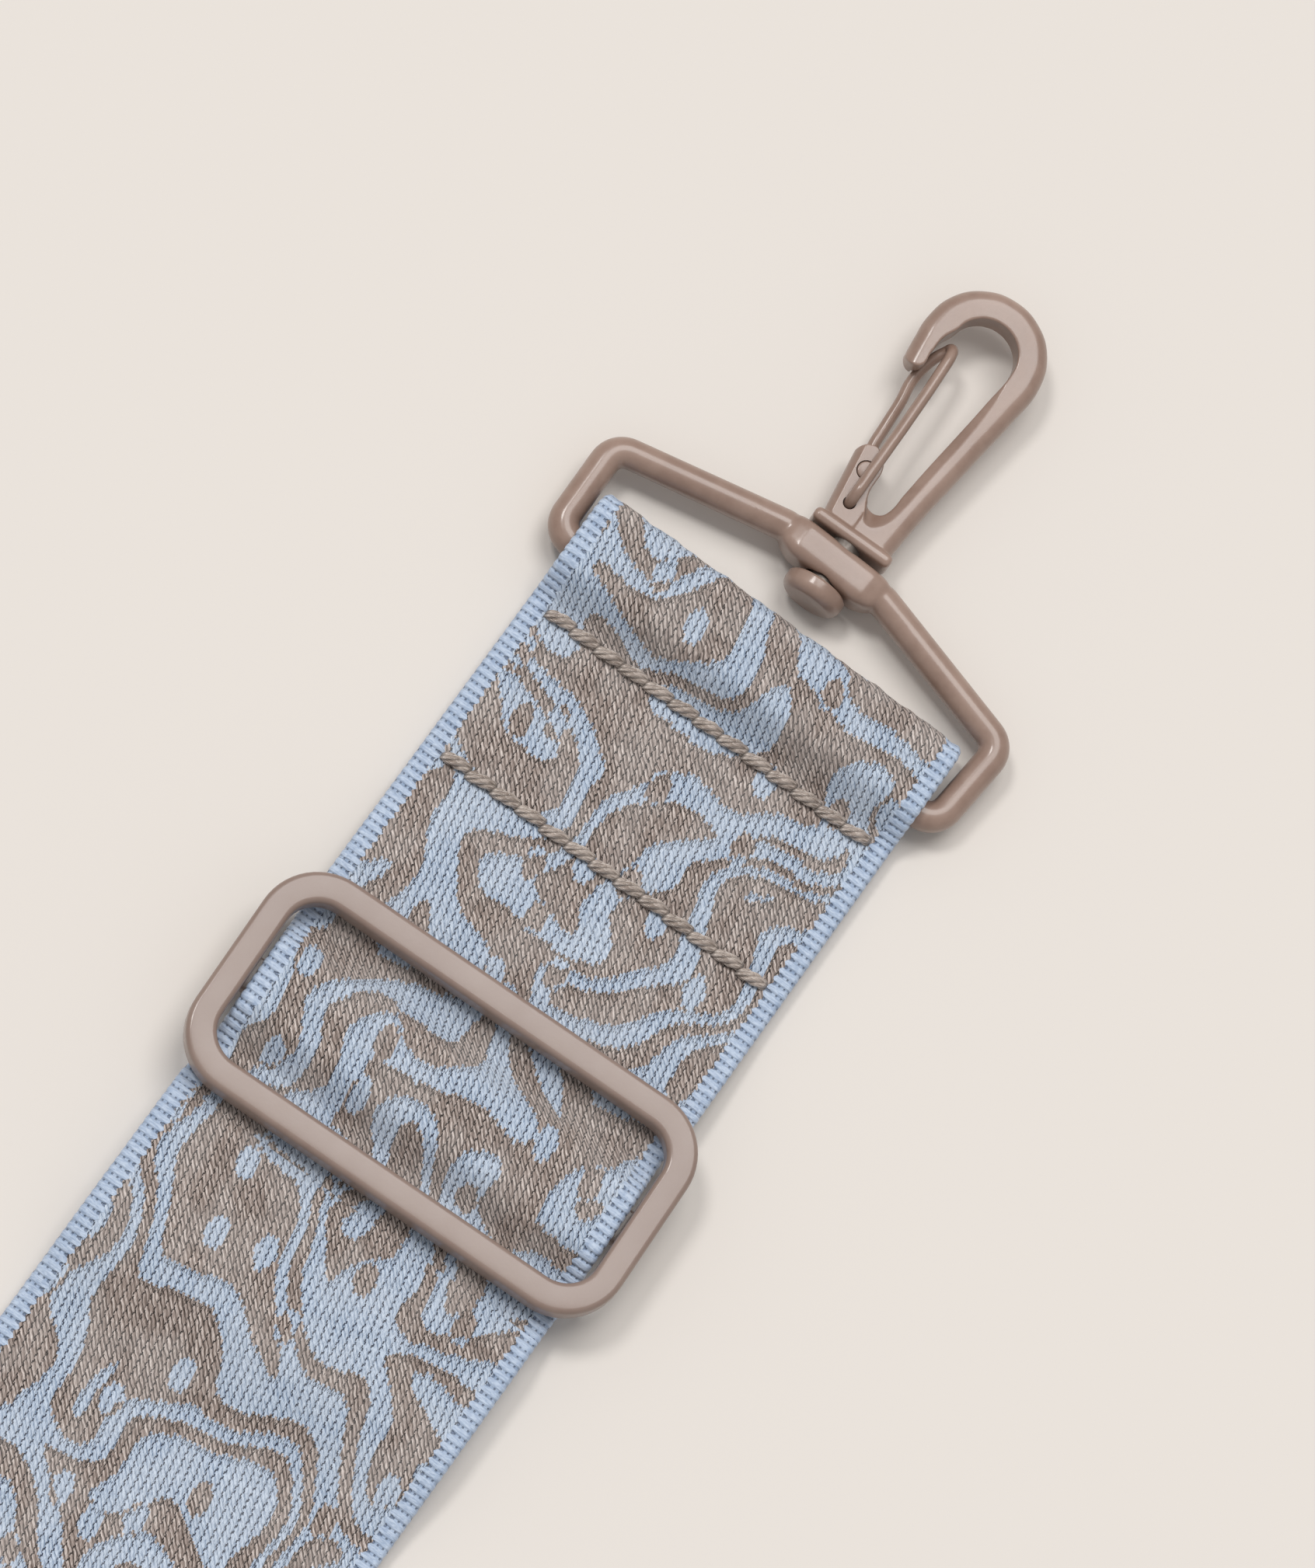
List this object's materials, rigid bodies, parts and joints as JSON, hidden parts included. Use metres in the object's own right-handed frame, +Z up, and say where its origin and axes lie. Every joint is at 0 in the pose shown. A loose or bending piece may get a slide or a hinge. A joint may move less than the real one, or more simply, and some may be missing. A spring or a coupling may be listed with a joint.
{
  "type": "detachable bag strap",
  "caption": "Adjustable shoulder strap of wide woven webbing with a slider, and at each end a wire ring, a swivel snap hook and a sprung wire gate.",
  "frame": {"origin": "on the surface that the strap lies on, midway between the two folds of the webbing and on its centre line, with the strap at its shortest", "axes": "+X along the webbing towards the hook end that is sewn, +Y across the webbing, +Z up from the surface"},
  "size_m": [0.7548, 0.0606, 0.0084],
  "materials": {
    "woven_webbing": "jacquard webbing in pale blue and taupe with a ribbed selvedge",
    "sewing_thread": "thick taupe sewing thread",
    "painted_zinc": "satin taupe paint over cast zinc and wire",
    "bare_rivet": "bare grey metal where the paint is rubbed off, painted on its head"
  },
  "bodies": {
    "hook_end": {"webbing_hook_end": "woven_webbing", "webbing_near_run": "woven_webbing", "stitch_row_1": "sewing_thread", "stitch_row_2": "sewing_thread"},
    "slider": {"slider_frame": "painted_zinc", "webbing_slider_pass": "woven_webbing", "webbing_slider_loop": "woven_webbing", "stitch_row_3": "sewing_thread", "stitch_row_4": "sewing_thread"},
    "far_loop": {"webbing_far_fold": "woven_webbing", "webbing_upper_run": "woven_webbing", "webbing_return_run": "woven_webbing"},
    "ring_end_1": {"ring_1": "painted_zinc"},
    "hook_body_1": {"hook_1": "painted_zinc", "swivel_rivet_1": "bare_rivet", "gate_front_leg_1": "painted_zinc", "gate_back_leg_1": "painted_zinc"},
    "gate_body_1": {"gate_1": "painted_zinc"},
    "ring_end_2": {"ring_2": "painted_zinc"},
    "hook_body_2": {"hook_2": "painted_zinc", "swivel_rivet_2": "bare_rivet", "gate_front_leg_2": "painted_zinc", "gate_back_leg_2": "painted_zinc"},
    "gate_body_2": {"gate_2": "painted_zinc"}
  },
  "joints": [
    {"name": "slider_slide", "type": "slide", "parent": "hook_end", "child": "slider", "axis": [-1, 0, 0], "range_m": [0, 1.019], "deforming": ["webbing_near_run"]},
    {"name": "far_loop_slide", "type": "slide", "parent": "slider", "child": "far_loop", "axis": [-1, 0, 0], "range_m": [-0.5095, 0], "deforming": ["webbing_upper_run", "webbing_return_run"]},
    {"name": "ring_swing_1", "type": "hinge", "parent": "hook_end", "child": "ring_end_1", "pos_m": [0.3217, 0, 0.0034], "axis": [-0.0384, -0.9993, 0], "range_deg": [-140, 150]},
    {"name": "hook_swivel_1", "type": "hinge", "parent": "ring_end_1", "child": "hook_body_1", "pos_m": [0.33858, -0.00065, 0.00393], "axis": [0.9995, 0.0105, 0.0312], "continuous": true},
    {"name": "gate_swing_1", "type": "hinge", "parent": "hook_body_1", "child": "gate_body_1", "pos_m": [0.34771, 0.00232, 0.00421], "axis": [0.0312, -0.0012, -0.9995], "range_deg": [0, 17], "stiffness_Nm_per_rad": 0.1, "springref_deg": -5.73, "deforming": ["gate_front_leg_1", "gate_back_leg_1"]},
    {"name": "ring_swing_2", "type": "hinge", "parent": "far_loop", "child": "ring_end_2", "pos_m": [-0.3217, 0, 0.0034], "axis": [0.0384, 0.9993, 0], "range_deg": [-140, 150]},
    {"name": "hook_swivel_2", "type": "hinge", "parent": "ring_end_2", "child": "hook_body_2", "pos_m": [-0.33858, 0.00065, 0.00393], "axis": [-0.9995, -0.0105, 0.0312], "continuous": true},
    {"name": "gate_swing_2", "type": "hinge", "parent": "hook_body_2", "child": "gate_body_2", "pos_m": [-0.34771, -0.00232, 0.00421], "axis": [-0.0312, 0.0012, -0.9995], "range_deg": [0, 17], "stiffness_Nm_per_rad": 0.1, "springref_deg": -5.73, "deforming": ["gate_front_leg_2", "gate_back_leg_2"]}
  ],
  "couplings": [
    {"joint": "far_loop_slide", "follows": "slider_slide", "ratio": -0.5}
  ]
}
